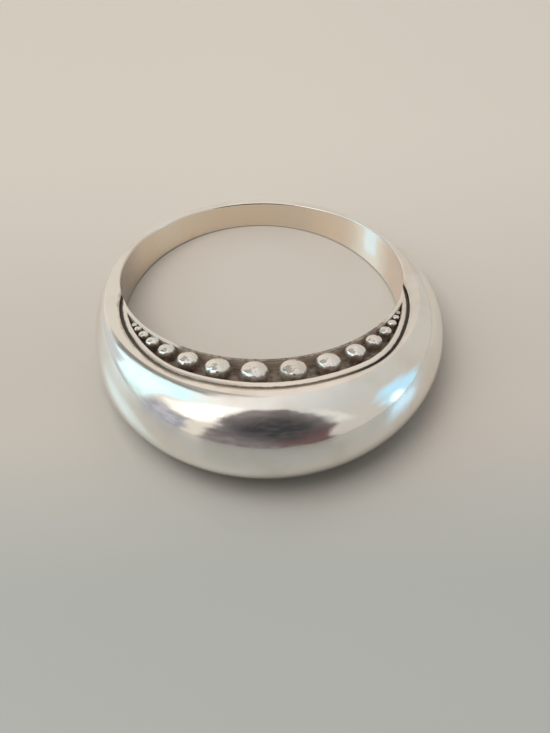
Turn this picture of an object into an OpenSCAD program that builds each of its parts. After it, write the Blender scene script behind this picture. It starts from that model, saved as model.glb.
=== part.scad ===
// Domed finger ring lying on its side: a thin shank that swells into a tall smooth crown,
// with a crescent of graduated granules let into each side face of the crown.
// Millimetres. The ring stands on z = 0, on the proud granules of its lower side and on
// the edge of its shank. The crown points along -Y and the shank along +Y.

/* [Finger hole] */
// Inner diameter of the ring
bore_d = 18; // [16:0.5:21]

/* [Band] */
// Thickness at the middle of the shank
shank_t = 0.95; // [0.9:0.05:1.5]
// Thickness at the middle of the crown
crown_t = 5.8; // [5.4:0.1:6.4]
// Thickness at the left flank
flank_left_t = 1.25; // [1.2:0.05:1.8]
// Thickness at the right flank
flank_right_t = 1.95; // [1.4:0.05:2.2]
// Width of the shank, at the finger hole
shank_w = 1.95; // [1.8:0.05:2.6]
// Width of the crown, at the edges of its side faces
crown_w = 6.1; // [5.6:0.1:6.4]
// How fast the crown swells out of the shank
swell_power = 2.5; // [2:0.1:3]

/* [Rounding] */
// Rounding of the outer surface at the shank, measured outward
shank_round = 0.65; // [0.5:0.05:0.8]
// Rounding at the crown
crown_round = 3; // [2.6:0.1:3.2]
// Rounding at the left flank
flank_left_round = 0.6; // [0.5:0.1:1.1]
// Rounding at the right flank
flank_right_round = 1.7; // [0.6:0.1:1.8]

/* [Gallery] */
// Radius of the outer edge of the crescent pocket
crescent_r = 8.95; // [8.8:0.05:9.1]
// How far the centre of the crescent lies in front of the finger hole
crescent_y = 2.9; // [2.7:0.05:3]
// Gap between a gallery and the band around it
seam = 0.18; // [0.12:0.02:0.2]
// Thickness of a gallery
gallery_t = 1.3; // [1.1:0.1:1.4]
// Depth of the recess that holds the granules
recess_depth = 0.6; // [0.4:0.1:0.8]
// Radius of the outer edge of the recess
recess_r = 8.5; // [8.4:0.05:8.6]
// How far the centre of the recess lies in front of the finger hole
recess_y = 2.7; // [2.6:0.05:2.8]
// Width of the rim beside the finger hole
inner_rim = 0.26; // [0.2:0.02:0.3]
// Granules in each half of the crescent
half_count = 8; // [6:1:8]
// Diameter of a granule as a part of the width of the recess where it sits
granule_fill = 0.88; // [0.8:0.02:0.9]
// Distance between two granules as a part of the distance at which they would touch
granule_pitch = 1.32; // [1.25:0.01:1.35]
// Height of a granule above the rims as a part of its radius
granule_proud = 0.46; // [0.4:0.02:0.6]
// Radius of the rubbed top of a granule as a part of its own radius
granule_crown = 2; // [1.6:0.1:2.4]
// How far the row of granules is turned towards the right flank
row_turn = 0.6; // [0:0.1:1]

/* [Hidden] */
$fn = 96;

silver = [0.83, 0.81, 0.78];
dark_silver = [0.5, 0.47, 0.44];

bore_r = bore_d/2;
// Longer than anything here, for cutting
far = 30;

// Side faces. They are planes that close towards the back of the shank.
// half_w is half the distance between them on the axis of the finger hole.
face_angle = 78;
crown_edge_r = bore_r + crown_t - crown_round*(1 - cos(face_angle));
face_slope = (crown_w - shank_w)/2/(crown_edge_r + bore_r);
half_w = shank_w/2 + face_slope*bore_r;
face_tilt = atan(face_slope);
function face_z(y) = half_w - face_slope*y;

// Form of the band by the angle a from the middle of the crown, with the right flank at 90.
flank_swell = pow(0.5, swell_power);
function swell(a) = pow((1 + cos(a))/2, swell_power);
function by_side(left, right, a) = left + (right - left)*(1 + sin(a))/2;
function grown(shank, crown, left, right, a) =
    let (plain = shank + (crown - shank)*flank_swell)
    shank + (crown - shank)*swell(a) + (by_side(left, right, a) - plain)*pow(sin(a), 2);
function band_t(a) = grown(shank_t, crown_t, flank_left_t, flank_right_t, a);
function rounding(a) = grown(shank_round, crown_round, flank_left_round, flank_right_round, a);
function outer_r(a) = bore_r + band_t(a);
function edge_r(a) = outer_r(a) - rounding(a)*(1 - cos(face_angle));
// Half height of the oval whose arc is the outer surface and meets the side face at face_angle
function oval_h(a) = face_z(-edge_r(a)*cos(a))/sin(face_angle);

// Sections of the band. Each is the oval's outer arc, closed inside the finger hole
// and above the side faces, which are cut afterwards.
section_count = 96;
arc_steps = 12;
core_r = bore_r - 1;
core_rise = 0.3;
function section(a) = concat(
    [[core_r, -oval_h(a) - core_rise]],
    [for (i = [0:arc_steps])
        let (v = -90 + 180*i/arc_steps)
        [outer_r(a) - rounding(a)*(1 - cos(v)), oval_h(a)*sin(v)]],
    [[core_r, oval_h(a) + core_rise]]);
section_size = arc_steps + 3;

// Granules by the same angle. Each is a ball centred level with the rims, with its top
// rubbed down to a flatter curve. It takes granule_fill of the recess where it sits, and its
// neighbour follows at granule_pitch. It reaches granule_root into the floor of the recess,
// and one that is too small for that stands on a slimmer post.
granule_root = 0.2;
post_share = 0.85;
recess_in = bore_r + inner_rim;
function recess_out(a) = recess_y*cos(a) + sqrt(pow(recess_r, 2) - pow(recess_y*sin(a), 2));
function granule_r(a) = granule_fill*(recess_out(a) - recess_in)/2;
function granule_track(a) = (recess_out(a) + recess_in)/2;
function granule_y(a) = -granule_track(a)*cos(a);
function top_r(a) = granule_crown*granule_r(a);
function top_sunk(a) = (granule_crown - granule_proud)*granule_r(a);
function step_angle(a, reach) = asin(granule_pitch*reach/granule_track(a));
function settled(from, size, guess, rounds) =
    rounds == 0 ? guess
    : settled(from, size, from + step_angle(guess, size + granule_r(guess)), rounds - 1);
first_angle = step_angle(0, granule_r(0));
function granule_angle(i) =
    i == 0 ? first_angle
    : let (from = granule_angle(i - 1), size = granule_r(from))
      settled(from, size, from, 6);

// Resting pose. The ring lies on the tops of the largest granules and on the edge of its
// shank, so its mid plane is tilted by rest_tilt and its origin is raised by rest_lift.
heel_y = edge_r(180);
heel_z = face_z(heel_y);
top_y = granule_y(first_angle) - top_sunk(first_angle)*sin(face_tilt);
top_z = face_z(granule_y(first_angle)) - top_sunk(first_angle)*cos(face_tilt);
run = heel_y - top_y;
rise = top_z - heel_z;
rest_tilt = atan2(rise, run) + asin(top_r(first_angle)/norm([run, rise]));
rest_lift = heel_y*sin(rest_tilt) + heel_z*cos(rest_tilt);

// The origin is under the middle of the ring's box.
function tilted_reach(a) = norm([rounding(a)*cos(rest_tilt), oval_h(a)*sin(rest_tilt)]);
front_reach = (outer_r(0) - rounding(0))*cos(rest_tilt) + tilted_reach(0);
back_reach = (outer_r(180) - rounding(180))*cos(rest_tilt) + tilted_reach(180);
side_reach = [for (a = [0:360/section_count:359]) outer_r(a)*sin(a)];
centre_x = (max(side_reach) + min(side_reach))/2;
centre_y = (back_reach - front_reach)/2;

module lying() {
    translate([-centre_x, -centre_y, rest_lift]) rotate([-rest_tilt, 0, 0]) children();
}

// A slab under the upper side face, from the given depth up.
module from_depth(depth, thickness) {
    translate([0, 0, half_w]) rotate([-face_tilt, 0, 0])
        translate([-far, -far, -depth]) cube([2*far, 2*far, thickness]);
}

// The part of the band's outer form that the side faces and the finger hole cut to size.
module outer_form() {
    points = [for (s = [0:section_count - 1])
        let (a = 360*s/section_count)
        for (p = section(a)) [p[0]*sin(a), -p[0]*cos(a), p[1]]];
    faces = [for (s = [0:section_count - 1], i = [0:section_size - 1])
        let (here = s*section_size, next = (s + 1)%section_count*section_size, j = (i + 1)%section_size)
        for (f = [[here + i, here + j, next + j], [here + i, next + j, next + i]]) f];
    polyhedron(points = points, faces = faces, convexity = 6);
}

// Everything between the two side faces.
module between_faces() {
    rotate([90, 0, 90]) linear_extrude(2*far, center = true)
        polygon([[-far, -face_z(-far)], [far/2, -face_z(far/2)], [far/2, face_z(far/2)], [-far, face_z(-far)]]);
}

module finger_hole(r = bore_r) {
    cylinder(h = 2*far, r = r, center = true);
}

module crescent_outline(r, front) {
    translate([0, -front, 0]) cylinder(h = far, r = r);
}

module pocket() {
    intersection() {
        crescent_outline(crescent_r, crescent_y);
        from_depth(gallery_t, far);
    }
}

module plain_band() {
    difference() {
        intersection() {
            outer_form();
            between_faces();
        }
        finger_hole();
        pocket();
        mirror([0, 0, 1]) pocket();
    }
}

module granule(a) {
    r = granule_r(a);
    foot = recess_depth + granule_root;
    y = granule_y(a);
    translate([granule_track(a)*sin(a), y, face_z(y)]) rotate([-face_tilt, 0, 0]) {
        intersection() {
            sphere(r = r);
            translate([0, 0, -foot]) cylinder(h = foot + 2*r, r = 2*r);
            translate([0, 0, -top_sunk(a)]) sphere(r = top_r(a));
        }
        if (foot > r)
            translate([0, 0, -foot]) cylinder(h = foot, r = post_share*r);
    }
}

module recess() {
    difference() {
        intersection() {
            crescent_outline(recess_r, recess_y);
            from_depth(recess_depth, far);
        }
        finger_hole(recess_in);
    }
}

module gallery() {
    difference() {
        intersection() {
            crescent_outline(crescent_r - seam, crescent_y);
            from_depth(gallery_t, gallery_t);
        }
        recess();
        finger_hole();
    }
    for (side = [-1, 1], i = [0:half_count - 1]) granule(side*granule_angle(i) + row_turn);
}

module band() {
    color(silver) lying() plain_band();
}

module gallery_upper() {
    color(dark_silver) lying() gallery();
}

module gallery_lower() {
    color(dark_silver) lying() mirror([0, 0, 1]) gallery();
}

band();
gallery_upper();
gallery_lower();
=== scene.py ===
"""A domed silver finger ring lying on its side on a pale table.

The band and its two galleries are built here with finer sections than the solids they
stand for, and the crescents' outlines bulge a little, as hand-cut ones do. All sizes are
in millimetres in the ring's own frame: the finger hole runs along z, the crown points
along -y, and angles count from the crown towards +x.
"""
import math

import bmesh
import bpy
import numpy as np
from mathutils import Matrix, Vector


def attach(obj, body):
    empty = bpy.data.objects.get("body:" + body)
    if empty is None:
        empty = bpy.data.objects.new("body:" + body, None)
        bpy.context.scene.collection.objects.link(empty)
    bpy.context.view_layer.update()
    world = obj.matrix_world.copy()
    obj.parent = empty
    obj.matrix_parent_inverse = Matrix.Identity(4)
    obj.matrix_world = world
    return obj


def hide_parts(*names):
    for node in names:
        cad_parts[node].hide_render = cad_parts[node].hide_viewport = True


MM = 0.001

# Form of the ring, with the values of its solids
BORE_R = 9.0
SHANK_T, CROWN_T, LEFT_T, RIGHT_T = 0.95, 5.8, 1.25, 1.95
SHANK_W, CROWN_W = 1.95, 6.1
SHANK_ROUND, CROWN_ROUND, LEFT_ROUND, RIGHT_ROUND = 0.65, 3.0, 0.6, 1.7
SWELL_POWER = 2.5
FACE_ANGLE = math.radians(78)
CRESCENT_R, CRESCENT_Y, SEAM = 8.95, 2.9, 0.18
GALLERY_T, RECESS_DEPTH = 1.3, 0.6
RECESS_R, RECESS_Y, INNER_RIM = 8.5, 2.7, 0.26
HALF_COUNT, GRANULE_FILL, GRANULE_PITCH = 8, 0.88, 1.32
GRANULE_PROUD, GRANULE_CROWN, POST_SHARE = 0.46, 2.0, 0.85
ROW_TURN = math.radians(0.6)

# What the scene adds to the solids' form

# solder in the seam: its depth, its gap beside the band, its rise beside the gallery
SOLDER_DEPTH, SOLDER_GAP, SOLDER_STEP = 0.13, 0.01, 0.02
# rounding of the rims' edges away from the recess and beside it
RIM_ROUND, GROOVE_ROUND = 0.05, 0.04
# the largest shares of a width that a rounding takes
RIM_SHARE, ROUND_SHARE = 0.35, 0.3
# a granule's shoulder as a part of its radius, and how far it reaches into the floor
GRANULE_SHOULDER, GRANULE_ROOT = 0.42, 0.1
# the rounding beside the finger hole, which grows over the given angle behind the tips
FILLET, FILLET_GROWTH, FILLET_REACH = 0.05, 0.08, math.radians(15)
# where the hand-cut crescent leaves its circle: middle and reach as angles, and height
BULGES = (
    (math.radians(35), math.radians(14), 0.32),
    (math.radians(-32), math.radians(13), 0.18),
)

CROWN_EDGE_R = BORE_R + CROWN_T - CROWN_ROUND * (1 - math.cos(FACE_ANGLE))
FACE_SLOPE = (CROWN_W - SHANK_W) / 2 / (CROWN_EDGE_R + BORE_R)
HALF_W = SHANK_W / 2 + FACE_SLOPE * BORE_R
FACE_TILT = math.atan(FACE_SLOPE)

# Fineness of the meshes
BAND_COLUMNS = 361
GRANULE_COLUMNS = 40
SHARP_ANGLE = math.radians(35)
# between two columns where the form changes at once, and for comparing angles
SUDDEN, TINY = 2e-5, 1e-9
# in metres: points this near become one, and edges this short are taken out
WELD, SLIVER = 2e-7, 1e-7
# sections of the solids' band, whose box gives the origin
SOLID_SECTIONS = 96


def face_z(y):
    """Height of the upper side face."""
    return HALF_W - FACE_SLOPE * y


def grown(shank, crown, left, right, a):
    """A size of the band's section at an angle, from its values at four places."""
    swell = ((1 + np.cos(a)) / 2) ** SWELL_POWER
    plain = shank + (crown - shank) * 0.5 ** SWELL_POWER
    flank = left + (right - left) * (1 + np.sin(a)) / 2
    return shank + (crown - shank) * swell + (flank - plain) * np.sin(a) ** 2


def outer_r(a):
    return BORE_R + grown(SHANK_T, CROWN_T, LEFT_T, RIGHT_T, a)


def rounding(a):
    return grown(SHANK_ROUND, CROWN_ROUND, LEFT_ROUND, RIGHT_ROUND, a)


def edge_r(a):
    """Distance at which the outer surface meets the side faces."""
    return outer_r(a) - rounding(a) * (1 - math.cos(FACE_ANGLE))


def oval_h(a):
    """Half height of the oval whose arc is the outer surface."""
    return face_z(-edge_r(a) * np.cos(a)) / math.sin(FACE_ANGLE)


def crescent(a, r, front):
    """Distance from the finger hole's axis to a circle that lies in front of it."""
    return front * np.cos(a) + np.sqrt(r * r - (front * np.sin(a)) ** 2)


def outline(a, r, front):
    """The same distance to the crescent's outline, with its bulges."""
    return crescent(a, r, front) + sum(
        height * np.exp(-(((a - middle) / reach) ** 2)) for middle, reach, height in BULGES
    )


def crescent_end(r, front, inner):
    """Angle at which that circle meets a circle round the finger hole's axis."""
    return math.acos((inner**2 + front**2 - r**2) / (2 * inner * front))


RECESS_IN = BORE_R + INNER_RIM


def granule_r(a):
    return GRANULE_FILL * (crescent(a, RECESS_R, RECESS_Y) - RECESS_IN) / 2


def granule_track(a):
    return (crescent(a, RECESS_R, RECESS_Y) + RECESS_IN) / 2


def granule_angles():
    """Where the granules of one half sit, each by its neighbour's size and its own."""
    found = [math.asin(GRANULE_PITCH * granule_r(0) / granule_track(0))]
    while len(found) < HALF_COUNT:
        a = found[-1]
        # six rounds settle it
        for _ in range(6):
            reach = granule_r(found[-1]) + granule_r(a)
            a = found[-1] + math.asin(GRANULE_PITCH * reach / granule_track(a))
        found.append(a)
    return found


GRANULES = granule_angles()


def granule_y(a):
    return -granule_track(a) * math.cos(a)


def rest_pose():
    """Tilt and lift that lay the ring on its largest granules and the edge of its shank."""
    heel_y = edge_r(math.pi)
    heel_z = face_z(heel_y)
    first = GRANULES[0]
    sunk = (GRANULE_CROWN - GRANULE_PROUD) * granule_r(first)
    run = heel_y - granule_y(first) + sunk * math.sin(FACE_TILT)
    rise = face_z(granule_y(first)) - sunk * math.cos(FACE_TILT) - heel_z
    top_r = GRANULE_CROWN * granule_r(first)
    tilt = math.atan2(rise, run) + math.asin(top_r / math.hypot(run, rise))
    return tilt, heel_y * math.sin(tilt) + heel_z * math.cos(tilt)


REST_TILT, REST_LIFT = rest_pose()


def box_centre():
    """Middle of the lying ring's box, seen from above."""

    def reach(a):
        up = math.hypot(rounding(a) * math.cos(REST_TILT), oval_h(a) * math.sin(REST_TILT))
        return (outer_r(a) - rounding(a)) * math.cos(REST_TILT) + up

    a = np.radians(np.arange(0, 360, 360 / SOLID_SECTIONS))
    side = outer_r(a) * np.sin(a)
    return (side.max() + side.min()) / 2, (reach(math.pi) - reach(0)) / 2


CENTRE_X, CENTRE_Y = box_centre()
LYING = (
    Matrix.Translation((-CENTRE_X, -CENTRE_Y, REST_LIFT)) @ Matrix.Rotation(-REST_TILT, 4, "X")
)


def lie(points):
    """Ring frame in millimetres to the row frame in metres."""
    m = np.array(LYING)
    return (points @ m[:3, :3].T + m[:3, 3]) * MM


# Mesh helpers
def make_object(name, points, faces, materials, material_index):
    """A smooth object of points in the ring's frame, sharp where it turns at once."""
    mesh = bpy.data.meshes.new(name)
    mesh.from_pydata([tuple(p) for p in lie(points)], [], faces)
    for m in materials:
        mesh.materials.append(m)
    mesh.polygons.foreach_set("material_index", material_index)
    obj = bpy.data.objects.new(name, mesh)
    bpy.context.collection.objects.link(obj)
    bm = bmesh.new()
    bm.from_mesh(mesh)
    bmesh.ops.remove_doubles(bm, verts=bm.verts, dist=WELD)
    bmesh.ops.dissolve_degenerate(bm, edges=bm.edges, dist=SLIVER)
    bmesh.ops.recalc_face_normals(bm, faces=bm.faces)
    for f in bm.faces:
        f.smooth = True
    for e in bm.edges:
        if len(e.link_faces) == 2 and e.calc_face_angle(0) > SHARP_ANGLE:
            e.smooth = False
    bm.to_mesh(mesh)
    bm.free()
    return obj


def grid_faces(columns, rows, wrap_columns):
    """Quads of a grid whose rows wrap round, with the row and the column of each."""
    faces, face_rows, face_columns = [], [], []
    last = columns if wrap_columns else columns - 1
    for c in range(last):
        n = (c + 1) % columns
        for r in range(rows):
            s = (r + 1) % rows
            faces.append((c * rows + r, n * rows + r, n * rows + s, c * rows + s))
            face_rows.append(r)
            face_columns.append(c)
    return faces, np.array(face_rows), np.array(face_columns)


def polar(a, r, z):
    """Points at the given angles and distances from the finger hole's axis."""
    return np.stack([r * np.sin(a), -r * np.cos(a), z], -1)


# Band, with the places of its materials in their list
ON_OUTSIDE, IN_POCKET, IN_HOLE = range(3)


def build_band(materials):
    """The upper half by columns round the finger hole, and the same mirrored down."""
    tip = crescent_end(CRESCENT_R, CRESCENT_Y, BORE_R)
    front = np.linspace(-tip, tip, BAND_COLUMNS)
    back = np.linspace(tip, 2 * math.pi - tip, BAND_COLUMNS)[1:-1]
    a = np.concatenate([front, back])
    in_front = np.concatenate([np.ones(len(front), bool), np.zeros(len(back), bool)])
    inner = np.where(in_front, outline(a, CRESCENT_R, CRESCENT_Y), BORE_R)
    inner[0] = inner[len(front) - 1] = BORE_R

    rows, kinds = [], []

    def add(r, z, kind):
        rows.append(polar(a, r, z))
        kinds.append(kind)

    def plane(r):
        return face_z(-r * np.cos(a))

    # outer surface, from its middle to the side face
    for v in np.radians(np.concatenate([np.linspace(0, 72, 25), [74, 75.5, 77, 78]])):
        add(outer_r(a) - rounding(a) * (1 - np.cos(v)), oval_h(a) * np.sin(v), "outside")
    # side face
    edge = edge_r(a)
    past_tip = np.where(in_front, 0, np.minimum(a - tip, 2 * math.pi - tip - a))
    fillet = FILLET + FILLET_GROWTH * np.clip(past_tip / FILLET_REACH, 0, 1)
    fillet = np.minimum(fillet, ROUND_SHARE * (edge - inner))
    for t in (0.06, 0.14, 0.35, 0.65, 0.9):
        r = edge + (inner + fillet - edge) * t
        add(r, plane(r), "face")
    for t in np.radians(np.linspace(0, 90, 6)):
        r = inner + fillet * (1 - np.sin(t))
        add(r, plane(r) - fillet * (1 - np.cos(t)), "face")
    # pocket wall and floor, which shrink to a stretch of the finger hole's wall behind the tips
    pocket_depth = GALLERY_T / math.cos(FACE_TILT)
    floor_z = face_z(-inner * np.cos(a)) - pocket_depth
    share = floor_z[0] / face_z(-BORE_R * math.cos(tip))
    floor_z = np.where(in_front, floor_z, share * plane(inner))
    top_z = plane(inner) - fillet
    for t in (0.1, 0.5, 1.0):
        add(inner, top_z + (floor_z - top_z) * t, "wall")
    bore = np.full_like(a, BORE_R)
    inner_floor_z = np.where(in_front, plane(bore) - pocket_depth, floor_z)
    inner_floor_z[0] = inner_floor_z[len(front) - 1] = floor_z[0]
    add(bore, inner_floor_z, "floor")
    for t in (0.15, 0.4, 0.7, 1.0):
        add(bore, inner_floor_z * (1 - t), "hole")

    upper = np.stack(rows, 1)
    lower = upper[:, 1:-1][:, ::-1] * np.array([1, 1, -1])
    points = np.concatenate([upper, lower], 1)
    kinds = kinds + kinds[1:-1][::-1]
    count = points.shape[1]
    faces, face_row, face_column = grid_faces(len(a), count, True)
    kinds = np.array(kinds)
    here, there = kinds[face_row], kinds[(face_row + 1) % count]
    both_in_front = in_front[face_column] & in_front[(face_column + 1) % len(a)]
    pocket = both_in_front & ((here == "wall") | (there == "wall"))
    outside = (here == "outside") | (there == "outside")
    side_face = (here == "face") & (there == "face")
    index = np.where(pocket, IN_POCKET, np.where(outside | side_face, ON_OUTSIDE, IN_HOLE))
    return make_object("silver_band", points.reshape(-1, 3), faces, materials, index)


# Galleries, with the places of their materials in their list
ON_BORE, IN_RECESS, ON_INNER_RIM, ON_GRANULE, ON_OUTER_RIM = range(5)


def granule_profile(r):
    """Half section of a granule from its rubbed top round its shoulder to its foot."""
    top_r, shoulder = GRANULE_CROWN * r, GRANULE_SHOULDER * r
    turn = math.asin((r - shoulder) / (top_r - shoulder))
    level = GRANULE_PROUD * r - top_r + (top_r - shoulder) * math.cos(turn)
    found = []
    for t in np.linspace(0, turn, 9):
        found.append((top_r * math.sin(t), GRANULE_PROUD * r - top_r * (1 - math.cos(t))))
    for t in np.linspace(turn, math.pi / 2, 11)[1:]:
        found.append((r - shoulder * (1 - math.sin(t)), level + shoulder * math.cos(t)))
    foot = RECESS_DEPTH + GRANULE_ROOT + level
    neck = math.pi - math.asin(POST_SHARE) if foot > r else math.acos(-foot / r)
    for t in np.linspace(math.pi / 2, neck, 9)[1:]:
        found.append((r * math.sin(t), level + r * math.cos(t)))
    if foot > r:
        found.append((POST_SHARE * r, level - foot))
    return found


def granule_points(angle):
    """A granule's points, its top first and then ring by ring."""
    points = []
    for j, (r, z) in enumerate(granule_profile(granule_r(angle))):
        for k in range(GRANULE_COLUMNS if j else 1):
            t = 2 * math.pi * k / GRANULE_COLUMNS
            points.append((r * math.cos(t), r * math.sin(t), z))
    upright = np.array(Matrix.Rotation(-FACE_TILT, 3, "X"))
    y = granule_y(angle)
    place = np.array([granule_track(angle) * math.sin(angle), y, face_z(y)])
    return np.array(points) @ upright.T + place


def granule_faces(start, count):
    """Faces of a granule of that many points, whose top is the point number start."""
    around = GRANULE_COLUMNS
    faces = [(start, start + 1 + k, start + 1 + (k + 1) % around) for k in range(around)]
    last = start + count - around
    for low in range(start + 1, last, around):
        high = low + around
        for k in range(around):
            n = (k + 1) % around
            faces.append((low + k, high + k, high + n, low + n))
    faces.append(tuple(range(last, last + around)))
    return faces


def build_gallery(name, side, materials):
    """A crescent plate by columns from tip to tip, with its granules and the solder round it."""
    out_r = CRESCENT_R - SEAM
    end = crescent_end(out_r, CRESCENT_Y, BORE_R)
    tip = crescent_end(CRESCENT_R - SOLDER_GAP, CRESCENT_Y, BORE_R)
    recess_end = crescent_end(RECESS_R, RECESS_Y, RECESS_IN)
    half = np.concatenate([
        np.linspace(0, recess_end, 141),
        [recess_end + SUDDEN],
        np.linspace(recess_end, end, 31)[1:],
        [end + SUDDEN],
        np.linspace(end, tip, 9)[1:],
    ])
    a = np.concatenate([-half[::-1], half[1:]])
    has_recess = np.abs(a) <= recess_end + TINY
    outer = np.maximum(outline(a, out_r, CRESCENT_Y), BORE_R)
    bore = np.full_like(a, BORE_R)
    split = np.minimum(RECESS_IN, (outer + BORE_R) / 2)
    recess_in = np.where(has_recess, RECESS_IN, split)
    groove_out = np.maximum(outline(a, RECESS_R, RECESS_Y), RECESS_IN)
    recess_out = np.where(has_recess, groove_out, split)
    depth = np.where(has_recess, RECESS_DEPTH / math.cos(FACE_TILT), 0.0)
    # past the gallery's end only the solder in the seam goes on, up to the pocket's tip
    sunk = np.where(np.abs(a) > end + TINY, SOLDER_DEPTH, 0.0)

    rows, kinds = [], []

    def plane(r):
        return face_z(-r * np.cos(a))

    def add(r, z, kind):
        rows.append(polar(a, r, z))
        kinds.append(kind)

    def rim(low, high, at_low, at_high, kind):
        """Top of a rim between two distances, rounded by the given radii at its edges."""
        top = plane(low) - sunk
        for t in np.radians(np.linspace(0, 90, 5)):
            add(low + at_low * (1 - np.cos(t)), top - at_low * (1 - np.sin(t)), kind)
        top = plane(high) - sunk
        for t in np.radians(np.linspace(90, 0, 5)):
            add(high - at_high * (1 - np.cos(t)), top - at_high * (1 - np.sin(t)), kind)

    inner_width, outer_width = recess_in - bore, outer - recess_out
    bottom = GALLERY_T / math.cos(FACE_TILT)
    midway = 0.6 * bottom
    add(bore, plane(bore) - bottom, "hole")
    add(bore, plane(bore) - midway, "hole")
    inner_round = np.minimum(RIM_ROUND, RIM_SHARE * inner_width)
    groove_round = np.minimum(GROOVE_ROUND, ROUND_SHARE * inner_width)
    groove_round = np.where(has_recess, groove_round, 0.0)
    outer_round = np.minimum(RIM_ROUND, ROUND_SHARE * outer_width)
    rim(bore, recess_in, inner_round, groove_round, "inner_rim")
    for r, t in ((recess_in, 0.3), (recess_in, 1.0), (recess_out, 1.0), (recess_out, 0.3)):
        fall = sunk + groove_round + (depth - groove_round) * t * has_recess
        add(r, plane(r) - fall, "recess")
    rim(recess_out, outer, groove_round, outer_round, "outer_rim")
    # the solder stops just short of the band
    solder = np.maximum(outline(a, CRESCENT_R - SOLDER_GAP, CRESCENT_Y), BORE_R)
    add(outer, plane(outer) - np.maximum(sunk, SOLDER_DEPTH - SOLDER_STEP), "wall")
    for fall in (SOLDER_DEPTH, midway, bottom):
        add(solder, plane(solder) - fall, "wall")

    grid = np.stack(rows, 1)
    count = grid.shape[1]
    kinds = np.array(kinds)
    faces, face_row, face_column = grid_faces(len(a), count, False)
    here, there = kinds[face_row], kinds[(face_row + 1) % count]
    index = np.full(len(faces), IN_RECESS)
    index[(here == "inner_rim") & (there == "inner_rim")] = ON_INNER_RIM
    index[(here == "outer_rim") & (there == "outer_rim")] = ON_OUTER_RIM
    index[(here == "hole") & ((there == "hole") | (there == "inner_rim"))] = ON_BORE
    index = list(index)
    points = [grid.reshape(-1, 3)]
    start = len(points[0])
    # granules, each a ball cut off in the floor or standing on a slimmer post
    for half in (-1, 1):
        for found in GRANULES:
            ball = granule_points(half * found + ROW_TURN)
            ball_faces = granule_faces(start, len(ball))
            points.append(ball)
            faces.extend(ball_faces)
            index.extend([ON_GRANULE] * len(ball_faces))
            start += len(ball)
    points = np.concatenate(points)
    if side < 0:
        points = points * np.array([1, 1, -1])
        faces = [tuple(reversed(f)) for f in faces]
    return make_object(name, points, faces, materials, index)


# Materials

# the Mix node's two inputs and its output for each kind of value
MIX_SOCKETS = {"FLOAT": (2, 3, 0), "VECTOR": (4, 5, 1), "RGBA": (6, 7, 2)}


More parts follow.
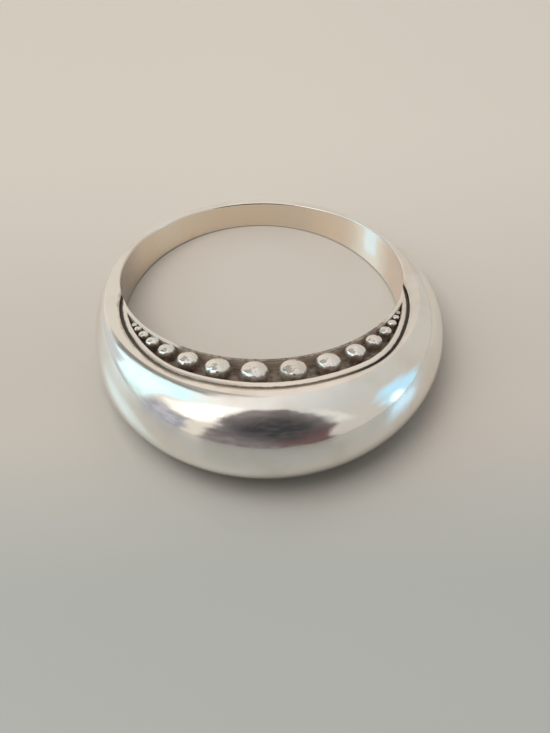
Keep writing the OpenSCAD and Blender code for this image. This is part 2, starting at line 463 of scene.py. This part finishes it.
class Shading:
    """A material's or world's node tree, with short calls for the nodes that are used here."""

    def __init__(self, owner):
        owner.use_nodes = True
        self.owner = owner
        self.nodes, self.links = owner.node_tree.nodes, owner.node_tree.links
        self.nodes.clear()

    def add(self, kind, **values):
        made = self.nodes.new(kind)
        for key, value in values.items():
            setattr(made, key, value)
        return made

    def put(self, value, socket):
        if isinstance(value, bpy.types.NodeSocket):
            self.links.new(value, socket)
        else:
            socket.default_value = value

    def maths(self, operation, *values):
        made = self.add("ShaderNodeMath", operation=operation)
        for value, socket in zip(values, made.inputs):
            self.put(value, socket)
        return made.outputs[0]

    def times(self, first, second):
        return self.maths("MULTIPLY", first, second)

    def minus(self, first, second):
        return self.maths("SUBTRACT", first, second)

    def apart(self, first, second):
        """How far two values are apart."""
        return self.maths("ABSOLUTE", self.minus(first, second))

    def either_side(self, value, left):
        """Distance from the middle, times the given factor on the left."""
        return self.maths("MAXIMUM", value, self.times(value, -left))

    def ramp(self, value, start, end):
        """0 up to start and 1 from end on, in either direction, with a soft change between."""
        made = self.add("ShaderNodeMapRange", interpolation_type="SMOOTHSTEP")
        self.put(value, made.inputs["Value"])
        made.inputs["From Min"].default_value = start
        made.inputs["From Max"].default_value = end
        return made.outputs[0]

    def scaled(self, value, low, high):
        """A value from 0 to 1 taken to low to high."""
        made = self.add("ShaderNodeMapRange")
        self.put(value, made.inputs["Value"])
        made.inputs["To Min"].default_value = low
        made.inputs["To Max"].default_value = high
        return made.outputs[0]

    def mix(self, factor, first, second, kind="RGBA"):
        """The first value at 0 and the second at 1."""
        made = self.add("ShaderNodeMix", data_type=kind)
        first_socket, second_socket, result = MIX_SOCKETS[kind]
        self.put(factor, made.inputs[0])
        self.put(first, made.inputs[first_socket])
        self.put(second, made.inputs[second_socket])
        return made.outputs[result]

    def noise(self, place, scale, detail=2.0, stretch=None, turn=0.0):
        """Soft noise around 0.5, drawn out along the axes by stretch where it is given."""
        if stretch:
            mapped = self.add("ShaderNodeMapping", vector_type="TEXTURE")
            # out of the ring's plane
            lean = 0.3
            mapped.inputs["Rotation"].default_value = (0, lean, turn)
            mapped.inputs["Scale"].default_value = stretch
            self.put(place, mapped.inputs["Vector"])
            place = mapped.outputs[0]
        made = self.add("ShaderNodeTexNoise")
        made.inputs["Scale"].default_value = scale
        made.inputs["Detail"].default_value = detail
        self.put(place, made.inputs["Vector"])
        return made.outputs["Fac"]

    def bump(self, height, distance, below=None):
        """Relief of the given height in millimetres, on top of another one or alone."""
        made = self.add("ShaderNodeBump")
        made.inputs["Distance"].default_value = distance * MM
        self.put(height, made.inputs["Height"])
        if below is not None:
            self.put(below, made.inputs["Normal"])
        return made.outputs[0]

    def ring_place(self):
        """The ring's own frame in millimetres, from the mesh's place in the row frame."""
        made = self.add("ShaderNodeMapping", vector_type="TEXTURE")
        made.inputs["Location"].default_value = LYING.translation * MM
        made.inputs["Rotation"].default_value = (-REST_TILT, 0, 0)
        made.inputs["Scale"].default_value = (MM, MM, MM)
        coordinates = self.add("ShaderNodeTexCoord")
        self.put(coordinates.outputs["Object"], made.inputs["Vector"])
        return made.outputs[0]

    def parts(self, place):
        made = self.add("ShaderNodeSeparateXYZ")
        self.put(place, made.inputs[0])
        return made.outputs

    def above_face(self, parts):
        """Height over the side faces, in millimetres, the same for both."""
        height = self.maths("MULTIPLY_ADD", parts["Y"], FACE_SLOPE, -HALF_W)
        height = self.maths("ADD", height, self.maths("ABSOLUTE", parts["Z"]))
        return self.times(height, math.cos(FACE_TILT))

    def scratches(self, place, turn):
        """Thin broken lines along one direction, 1 in a scratch."""
        lines = self.noise(place, 1.0, detail=0.0, stretch=(25.0, 0.16, 0.9), turn=turn)
        away = self.apart(lines, 0.5)
        line = self.ramp(away, 0.014, 0.002)
        return self.times(line, self.ramp(self.noise(place, 0.7), 0.52, 0.66))

    def beyond(self, parts, front, radius):
        """Distance outside a circle that lies in front of the finger hole's axis."""
        along = self.maths("ADD", parts["Y"], front)
        across = self.times(parts["X"], parts["X"])
        reach = self.maths("SQRT", self.maths("MULTIPLY_ADD", along, along, across))
        return self.minus(reach, radius)

    def outside(self, parts, front, radius):
        """Distance outside the crescent's outline, as outline() gives it."""
        distance = self.beyond(parts, front, radius)
        angle = self.maths("ARCTAN2", parts["X"], self.times(parts["Y"], -1.0))
        for middle, reach, height in BULGES:
            away = self.maths("DIVIDE", self.minus(angle, middle), reach)
            fall = self.maths("EXPONENT", self.times(self.times(away, away), -1.0))
            distance = self.maths("MULTIPLY_ADD", fall, -height, distance)
        return distance

    def surface(self, colour, roughness, metallic=0.0, normal=None):
        """Puts the finish on the material, and gives the material back."""
        shader = self.add("ShaderNodeBsdfPrincipled")
        self.put(metallic, shader.inputs["Metallic"])
        self.put(colour, shader.inputs["Base Color"])
        self.put(roughness, shader.inputs["Roughness"])
        if normal is not None:
            self.put(normal, shader.inputs["Normal"])
        out = self.add("ShaderNodeOutputMaterial")
        self.links.new(shader.outputs["BSDF"], out.inputs["Surface"])
        return self.owner


# Colours of the metal
SILVER = (0.93, 0.90, 0.86, 1)
WARM_SILVER = (0.86, 0.80, 0.73, 1)
TARNISH = (0.50, 0.41, 0.32, 1)
INSIDE = (0.87, 0.745, 0.59, 1)
INSIDE_WORN = (0.84, 0.735, 0.63, 1)
# painted shade on the left of the finger hole's wall
BORE_SHADE_LEFT = (0.60, 0.53, 0.45, 1)
# painted light on the right of the finger hole's wall
BORE_LIGHT_RIGHT = (0.97, 0.815, 0.71, 1)
# a painted highlight on the finger hole's wall
INSIDE_HIGHLIGHT = (0.98, 0.98, 1.0, 1)
OXIDE = (0.25, 0.19, 0.15, 1)
WORN_OXIDE = (0.52, 0.42, 0.34, 1)
# worn oxide on the recess wall, made lighter as painted light that lifts its shade
WALL_WEAR_AND_LIGHT = (0.92, 0.76, 0.64, 1)
SEAM_FRONT = (0.56, 0.47, 0.39, 1)
SEAM_END = (0.055, 0.043, 0.035, 1)
# where the finger hole's wall holds its painted highlight
HIGHLIGHT_Y = 4.75


def bright_surface(shading, place, dents=0.0):
    """Colour, roughness, metallic and normal of polished silver with fine wear."""
    film = shading.ramp(shading.noise(place, 0.35, detail=3.0), 0.42, 0.75)
    colour = shading.mix(film, SILVER, WARM_SILVER)
    lines = [shading.scratches(place, turn) for turn in (0.5, 2.1)]
    scratched = shading.maths("MAXIMUM", *lines)
    cloud = shading.noise(place, 1.4, detail=4.0)
    roughness = shading.maths("MULTIPLY_ADD", scratched, 0.14, shading.scaled(cloud, 0.04, 0.15))
    normal = shading.bump(shading.noise(place, 0.45, detail=1.5), 0.022)
    if dents:
        normal = shading.bump(shading.noise(place, 1.7, detail=2.0), dents, normal)
    normal = shading.bump(shading.noise(place, 9.0, detail=3.0), 0.0009, normal)
    normal = shading.bump(scratched, -0.0004, normal)
    return colour, roughness, 1.0, normal


def dark_surface(shading, place):
    """Colour, roughness, metallic and normal of the blackened, slightly worn metal."""
    rub = shading.ramp(shading.noise(place, 2.6, detail=5.0), 0.36, 0.68)
    colour = shading.mix(rub, OXIDE, WORN_OXIDE)
    roughness = shading.scaled(shading.noise(place, 6.0, detail=3.0), 0.28, 0.62)
    normal = shading.bump(shading.noise(place, 5.0, detail=5.0), 0.05)
    return colour, roughness, 0.25, normal


def polished_silver():
    """The band's outside and side faces, with tarnish gathered along the seam."""
    shading = Shading(bpy.data.materials.new("polished_silver"))
    place = shading.ring_place()
    colour, roughness, metallic, normal = bright_surface(shading, place)
    parts = shading.parts(place)
    away = shading.outside(parts, CRESCENT_Y, CRESCENT_R)
    away = shading.maths("MULTIPLY_ADD", shading.noise(place, 1.2, detail=4.0), 0.4, away)
    # most of it is on the left
    film = shading.ramp(away, 0.42, 0.18)
    film = shading.times(film, shading.scaled(shading.ramp(parts["X"], 1.0, -5.0), 0.35, 0.9))
    film = shading.times(film, shading.ramp(shading.above_face(parts), -0.12, -0.02))
    colour = shading.mix(film, colour, TARNISH)
    roughness = shading.maths("MULTIPLY_ADD", film, 0.2, roughness)
    return shading.surface(colour, roughness, metallic, normal)


def bore_silver():
    """The finger hole's wall, duller and warmer than the outside, with painted shade on its left
    and painted light and a painted highlight on its right.
    """
    shading = Shading(bpy.data.materials.new("bore_silver"))
    place = shading.ring_place()
    film = shading.ramp(shading.noise(place, 0.5, detail=4.0), 0.35, 0.7)
    colour = shading.mix(film, INSIDE, INSIDE_WORN)
    parts = shading.parts(place)
    # painted shade: darker at the wall's left end, where it mirrors the table's shadow
    colour = shading.mix(shading.ramp(parts["X"], -7.6, -8.8), colour, BORE_SHADE_LEFT)
    # painted light: lighter towards the wall's right end, where the light from the left falls
    colour = shading.mix(shading.ramp(parts["X"], 3.0, 8.5), colour, BORE_LIGHT_RIGHT)
    # painted highlight: a bright neutral place at the right back, where the wall mirrors the
    # table's sheen
    along = shading.apart(parts["Y"], HIGHLIGHT_Y)
    rubbed_and_highlight = shading.times(shading.ramp(along, 0.75, 0.3), shading.ramp(parts["X"], 0.0, 1.0))
    rubbed_and_highlight = shading.times(rubbed_and_highlight, shading.ramp(parts["Z"], -0.9, -0.1))
    colour = shading.mix(rubbed_and_highlight, colour, INSIDE_HIGHLIGHT)
    wear = shading.noise(place, 1.0, detail=4.0, stretch=(2.5, 2.5, 0.15))
    roughness = shading.scaled(wear, 0.12, 0.34)
    normal = shading.bump(shading.noise(place, 0.5, detail=2.0), 0.02)
    normal = shading.bump(wear, 0.002, normal)
    return shading.surface(colour, roughness, 1.0, normal)


def oxidised_silver():
    """The recess, whose wall beside the finger hole is lighter than its floor: worn, and with
    painted light that lifts its shade.
    """
    shading = Shading(bpy.data.materials.new("oxidised_silver"))
    place = shading.ring_place()
    colour, roughness, metallic, normal = dark_surface(shading, place)
    parts = shading.parts(place)
    # painted light with wear: the wall beside the finger hole lighter and not metallic, lifting its
    # shade
    wall = shading.ramp(shading.beyond(parts, 0.0, RECESS_IN), 0.03, 0.01)
    # the seam's ends come as near to the finger hole as that wall, and stay dark
    wall = shading.times(wall, shading.ramp(parts["Y"], -2.9, -3.4))
    metallic = shading.scaled(wall, metallic, 0.0)
    colour = shading.mix(wall, colour, WALL_WEAR_AND_LIGHT)
    away = shading.either_side(parts["X"], 0.7)
    ends = shading.ramp(away, 2.5, 6.5)
    seam = shading.ramp(shading.outside(parts, CRESCENT_Y, CRESCENT_R - SEAM), -0.03, 0.0)
    colour = shading.mix(seam, colour, shading.mix(ends, SEAM_FRONT, SEAM_END))
    return shading.surface(colour, roughness, metallic, normal)


def part_polished(name, mask, dents=0.0):
    """Blackened metal that is rubbed bright where the mask says."""
    shading = Shading(bpy.data.materials.new(name))
    place = shading.ring_place()
    rubbed_and_highlight = mask(shading, place)
    colour, roughness, metallic, normal = bright_surface(shading, place, dents)
    dark_colour, dark_roughness, dark_metallic, dark_normal = dark_surface(shading, place)
    return shading.surface(
        shading.mix(rubbed_and_highlight, dark_colour, colour),
        shading.mix(rubbed_and_highlight, dark_roughness, roughness, "FLOAT"),
        shading.scaled(rubbed_and_highlight, dark_metallic, metallic),
        shading.mix(rubbed_and_highlight, dark_normal, normal, "VECTOR"),
    )


def rim_mask(shading, place):
    """The rim beside the finger hole is bright towards its tips and dark in the middle."""
    parts = shading.parts(place)
    away = shading.either_side(parts["X"], 1.35)
    away = shading.maths("MULTIPLY_ADD", shading.noise(place, 1.8, detail=4.0), 1.6, away)
    return shading.ramp(away, 7.2, 8.6)


def outer_rim_mask(shading, place):
    """The rim outside the granules is bright between two ragged dark edges."""
    parts = shading.parts(place)
    from_recess = shading.outside(parts, RECESS_Y, RECESS_R)
    from_seam = shading.times(shading.outside(parts, CRESCENT_Y, CRESCENT_R - SEAM), -1.0)
    inside = shading.maths("MINIMUM", from_recess, from_seam)
    inside = shading.maths("MULTIPLY_ADD", shading.noise(place, 2.2, detail=4.0), -0.1, inside)
    return shading.ramp(inside, -0.04, 0.03)


def granule_mask(shading, place):
    """Granules are bright above the rims and the smallest ones nearly to their feet."""
    parts = shading.parts(place)
    across = shading.times(parts["X"], parts["X"])
    height = shading.maths("MULTIPLY_ADD", across, 0.0024, shading.above_face(parts))
    ragged = shading.maths("MULTIPLY_ADD", shading.noise(place, 3.5, detail=4.0), 0.26, height)
    return shading.ramp(ragged, 0.27, 0.36)


# Surroundings, with the table's half width in metres and its colours from front to back, a painted
# shade that darkens towards the camera
FLOOR_HALF = 0.4
FLOOR_SHADED_FRONT = (0.355, 0.355, 0.34, 1)
FLOOR_MIDDLE_SHADE = (0.475, 0.43, 0.39, 1)
FLOOR_LIT_BACK = (0.57, 0.515, 0.46, 1)


def build_floor():
    """A plain pale table with painted shade: darker and cooler towards the camera, where the light
    falls off.
    """
    mesh = bpy.data.meshes.new("floor")
    turned = ((-1, -1), (1, -1), (1, 1), (-1, 1))
    corners = [(FLOOR_HALF * x, FLOOR_HALF * y, 0) for x, y in turned]
    mesh.from_pydata(corners, [], [(0, 1, 2, 3)])
    shading = Shading(bpy.data.materials.new("pale_floor"))
    coordinates = shading.add("ShaderNodeTexCoord")
    parts = shading.parts(coordinates.outputs["Object"])
    # painted shade of the light falling off towards the camera
    colour = shading.mix(shading.ramp(parts["Y"], -0.019, -0.004), FLOOR_SHADED_FRONT, FLOOR_MIDDLE_SHADE)
    colour = shading.mix(shading.ramp(parts["Y"], -0.004, 0.022), colour, FLOOR_LIT_BACK)
    mesh.materials.append(shading.surface(colour, 0.3))
    floor = bpy.data.objects.new("floor", mesh)
    bpy.context.collection.objects.link(floor)


# a full turn and a radian, in degrees
FULL_TURN = 360.0
RADIAN = 180 / math.pi


def build_world():
    """The soft patches of light and dark that the ring mirrors.

    A direction's azimuth counts from the camera's side towards the right. The patches'
    edges wander a little.
    """
    world = bpy.data.worlds.new("soft_studio")
    bpy.context.scene.world = world
    shading = Shading(world)
    coordinates = shading.add("ShaderNodeTexCoord")
    direction = coordinates.outputs["Generated"]
    parts = shading.parts(direction)
    minus_y = shading.times(parts["Y"], -1.0)
    azimuth = shading.times(shading.maths("ARCTAN2", parts["X"], minus_y), RADIAN)
    height = shading.times(shading.maths("ARCSINE", parts["Z"]), RADIAN)
    drift = shading.minus(shading.noise(direction, 4.0, detail=3.0), 0.5)
    azimuth = shading.maths("MULTIPLY_ADD", drift, 22.0, azimuth)
    drift = shading.minus(shading.noise(direction, 6.0, detail=3.0), 0.5)
    height = shading.maths("MULTIPLY_ADD", drift, 14.0, height)

    def shares(az, el, half_az, half_el):
        """Distance from a direction in each way, as shares of the patch's half sizes."""
        found = []
        for value, middle, reach in ((azimuth, az, half_az), (height, el, half_el)):
            away = shading.apart(value, middle)
            away = shading.maths("MINIMUM", away, shading.minus(FULL_TURN, away))
            found.append(shading.maths("DIVIDE", away, reach))
        return found

    def patch(az, el, half_az, half_el, soft):
        """1 inside a soft rectangle of directions, in degrees, and 0 outside it."""
        furthest = shading.maths("MAXIMUM", *shares(az, el, half_az, half_el))
        return shading.ramp(furthest, 1 + soft, 1 - soft)

    def oval(az, el, half_az, half_el, soft):
        """The same inside a soft oval."""
        across, up = shares(az, el, half_az, half_el)
        squares = shading.maths("MULTIPLY_ADD", across, across, shading.times(up, up))
        return shading.ramp(shading.maths("SQRT", squares), 1 + soft, 1 - soft)

    # walls and ceiling, lighter on the left
    rightward = shading.ramp(parts["X"], -0.5, 0.6)
    walls = shading.mix(rightward, (0.79, 0.735, 0.65, 1), (0.59, 0.565, 0.515, 1))
    ceiling = shading.mix(rightward, (1.05, 1.02, 0.98, 1), (0.59, 0.60, 0.585, 1))
    colour = shading.mix(patch(0, 90, 999, 45, 0.5), walls, ceiling)
    # warm lamp behind the ring
    colour = shading.mix(oval(178, 31, 7, 9, 0.7), colour, (0.87, 0.765, 0.67, 1))
    # broad cool light from the left with a brighter window in it, and a white one above
    colour = shading.mix(patch(-112, 0, 24, 5, 0.5), colour, (0.45, 0.46, 0.48, 1))
    colour = shading.mix(patch(-110, 34, 22, 30, 0.2), colour, (0.82, 1.12, 1.18, 1))
    colour = shading.mix(oval(-110, 30, 19, 20, 0.35), colour, (1.0, 1.45, 1.55, 1))
    colour = shading.mix(oval(-124, 9, 12, 14, 0.3), colour, (0.62, 0.65, 0.66, 1))
    colour = shading.mix(oval(-64, 52, 18, 26, 0.3), colour, (1.4, 1.37, 1.3, 1))
    # the wall behind the window, and its dark jamb
    colour = shading.mix(patch(-156, 47, 23, 18, 0.25), colour, (0.42, 0.40, 0.37, 1))
    colour = shading.mix(patch(-140, 42, 7, 20, 0.4), colour, (0.26, 0.25, 0.24, 1))
    # window on the right with a brighter pane, and a pale frame nearer the camera
    colour = shading.mix(oval(87, 10, 14, 22, 0.35), colour, (0.56, 0.88, 1.08, 1))
    colour = shading.mix(oval(81, 3, 5, 8, 0.6), colour, (1.3, 1.7, 1.85, 1))
    colour = shading.mix(patch(50, 36, 5, 28, 0.4), colour, (0.76, 0.75, 0.71, 1))
    # grey-lilac cupboard on the left
    grain = shading.ramp(shading.noise(direction, 7.0, detail=2.0), 0.4, 0.62)
    lilac = shading.mix(grain, (0.37, 0.38, 0.43, 1), (0.55, 0.56, 0.63, 1))
    colour = shading.mix(patch(-71, 9, 16, 17, 0.25), colour, lilac)
    # dark card round the camera, darkest in its middle and reddish at its lower right
    card = shading.mix(grain, (0.27, 0.24, 0.24, 1), (0.19, 0.17, 0.175, 1))
    card = shading.mix(oval(28, 12, 24, 16, 0.4), card, (0.16, 0.10, 0.095, 1))
    deep = shading.mix(grain, (0.05, 0.05, 0.053, 1), (0.09, 0.085, 0.09, 1))
    card = shading.mix(oval(2, 40, 34, 27, 0.55), card, deep)
    colour = shading.mix(patch(0, 38, 42, 44, 0.08), colour, card)
    colour = shading.mix(oval(47, 6, 12, 19, 0.25), colour, (0.60, 0.57, 0.53, 1))
    background = shading.add("ShaderNodeBackground")
    shading.put(colour, background.inputs["Color"])
    background.inputs["Strength"].default_value = 1.0
    out = shading.add("ShaderNodeOutputWorld")
    shading.links.new(background.outputs[0], out.inputs["Surface"])


def build_table_light(name, azimuth, elevation, distance, size, energy, colour):
    """A soft light that reaches the table alone, because the ring mirrors the surroundings.

    Its direction is given in degrees, as the world's patches are, and the rest in metres
    and watts.
    """
    away, up = math.radians(azimuth), math.radians(elevation)
    toward = Vector((math.sin(away) * math.cos(up), -math.cos(away) * math.cos(up), math.sin(up)))
    data = bpy.data.lights.new(name, "AREA")
    data.size = size
    data.energy = energy
    data.color = colour
    light = bpy.data.objects.new(name, data)
    light.matrix_world = Matrix.LocRotScale(toward * distance, toward.to_track_quat("Z", "Y"), None)
    bpy.context.collection.objects.link(light)
    light.light_linking.receiver_collection = bpy.data.collections["table_only"]
    return light


def build_lights():
    """The windows' sheen on the table to both sides, and the soft light from above."""
    table = bpy.data.collections.new("table_only")
    table.objects.link(bpy.data.objects["floor"])
    left = build_table_light(
        "left_sheen", -104, 42, distance=0.16, size=0.07, energy=0.13, colour=(0.52, 0.93, 1.05)
    )
    right = build_table_light(
        "right_sheen", 80, 20, distance=0.16, size=0.05, energy=0.035, colour=(0.3, 0.75, 1.1)
    )
    left.visible_diffuse = False
    right.visible_diffuse = False
    above = build_table_light(
        "soft_above", -66, 72, distance=0.3, size=0.2, energy=0.6, colour=(1.0, 0.97, 0.92)
    )
    above.visible_glossy = False


def build_camera():
    """The photograph's camera, placed in the ring's own frame turned by its azimuth."""
    # radians and millimetres, worked out from both edges of the finger hole
    elevation, azimuth, roll = 0.745, 0.069, 0.006
    distance, across, along = 80.0, -0.869, 4.549
    sensor, focal_pixels, longer_side = 36, 1233.6, 733
    right = Vector((1, 0, 0))
    up = Vector((0, math.sin(elevation), math.cos(elevation)))
    forward = Vector((0, math.cos(elevation), -math.sin(elevation)))
    place = -(across * right + along * up + distance * forward)
    turn = Matrix.Rotation(-azimuth, 3, "Z")
    lay = LYING.to_3x3()
    rolled_right = right * math.cos(roll) + up * math.sin(roll)
    rolled_up = up * math.cos(roll) - right * math.sin(roll)
    x = lay @ turn @ rolled_right
    y = lay @ turn @ rolled_up
    z = -(lay @ turn @ forward)
    data = bpy.data.cameras.new("camera")
    data.sensor_width = sensor
    data.lens = sensor * focal_pixels / longer_side
    data.clip_start, data.clip_end = 0.005, 5
    camera = bpy.data.objects.new("camera", data)
    bpy.context.collection.objects.link(camera)
    rotation = Matrix((x, y, z)).transposed()
    camera.matrix_world = Matrix.LocRotScale((LYING @ (turn @ place)) * MM, rotation, None)
    bpy.context.scene.camera = camera


# Scene
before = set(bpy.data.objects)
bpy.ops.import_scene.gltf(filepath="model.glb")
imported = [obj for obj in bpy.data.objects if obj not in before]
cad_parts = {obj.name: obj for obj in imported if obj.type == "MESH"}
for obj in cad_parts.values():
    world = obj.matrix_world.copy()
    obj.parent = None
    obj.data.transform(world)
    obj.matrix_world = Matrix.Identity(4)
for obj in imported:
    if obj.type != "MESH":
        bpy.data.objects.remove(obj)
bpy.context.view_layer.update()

build_camera()
build_world()
build_floor()
build_lights()

silver, oxidised = polished_silver(), oxidised_silver()
bore = bore_silver()
band = build_band([silver, oxidised, bore])
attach(band, "root")
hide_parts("band")

gallery_materials = [
    bore,
    oxidised,
    part_polished("rim_silver", rim_mask),
    part_polished("granule_silver", granule_mask, 0.1),
    part_polished("outer_rim_silver", outer_rim_mask),
]
for name, side in (("gallery_upper", 1), ("gallery_lower", -1)):
    gallery = build_gallery("granule_" + name, side, gallery_materials)
    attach(gallery, "root")
    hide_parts(name)

bpy.context.scene.view_settings.view_transform = "Standard"
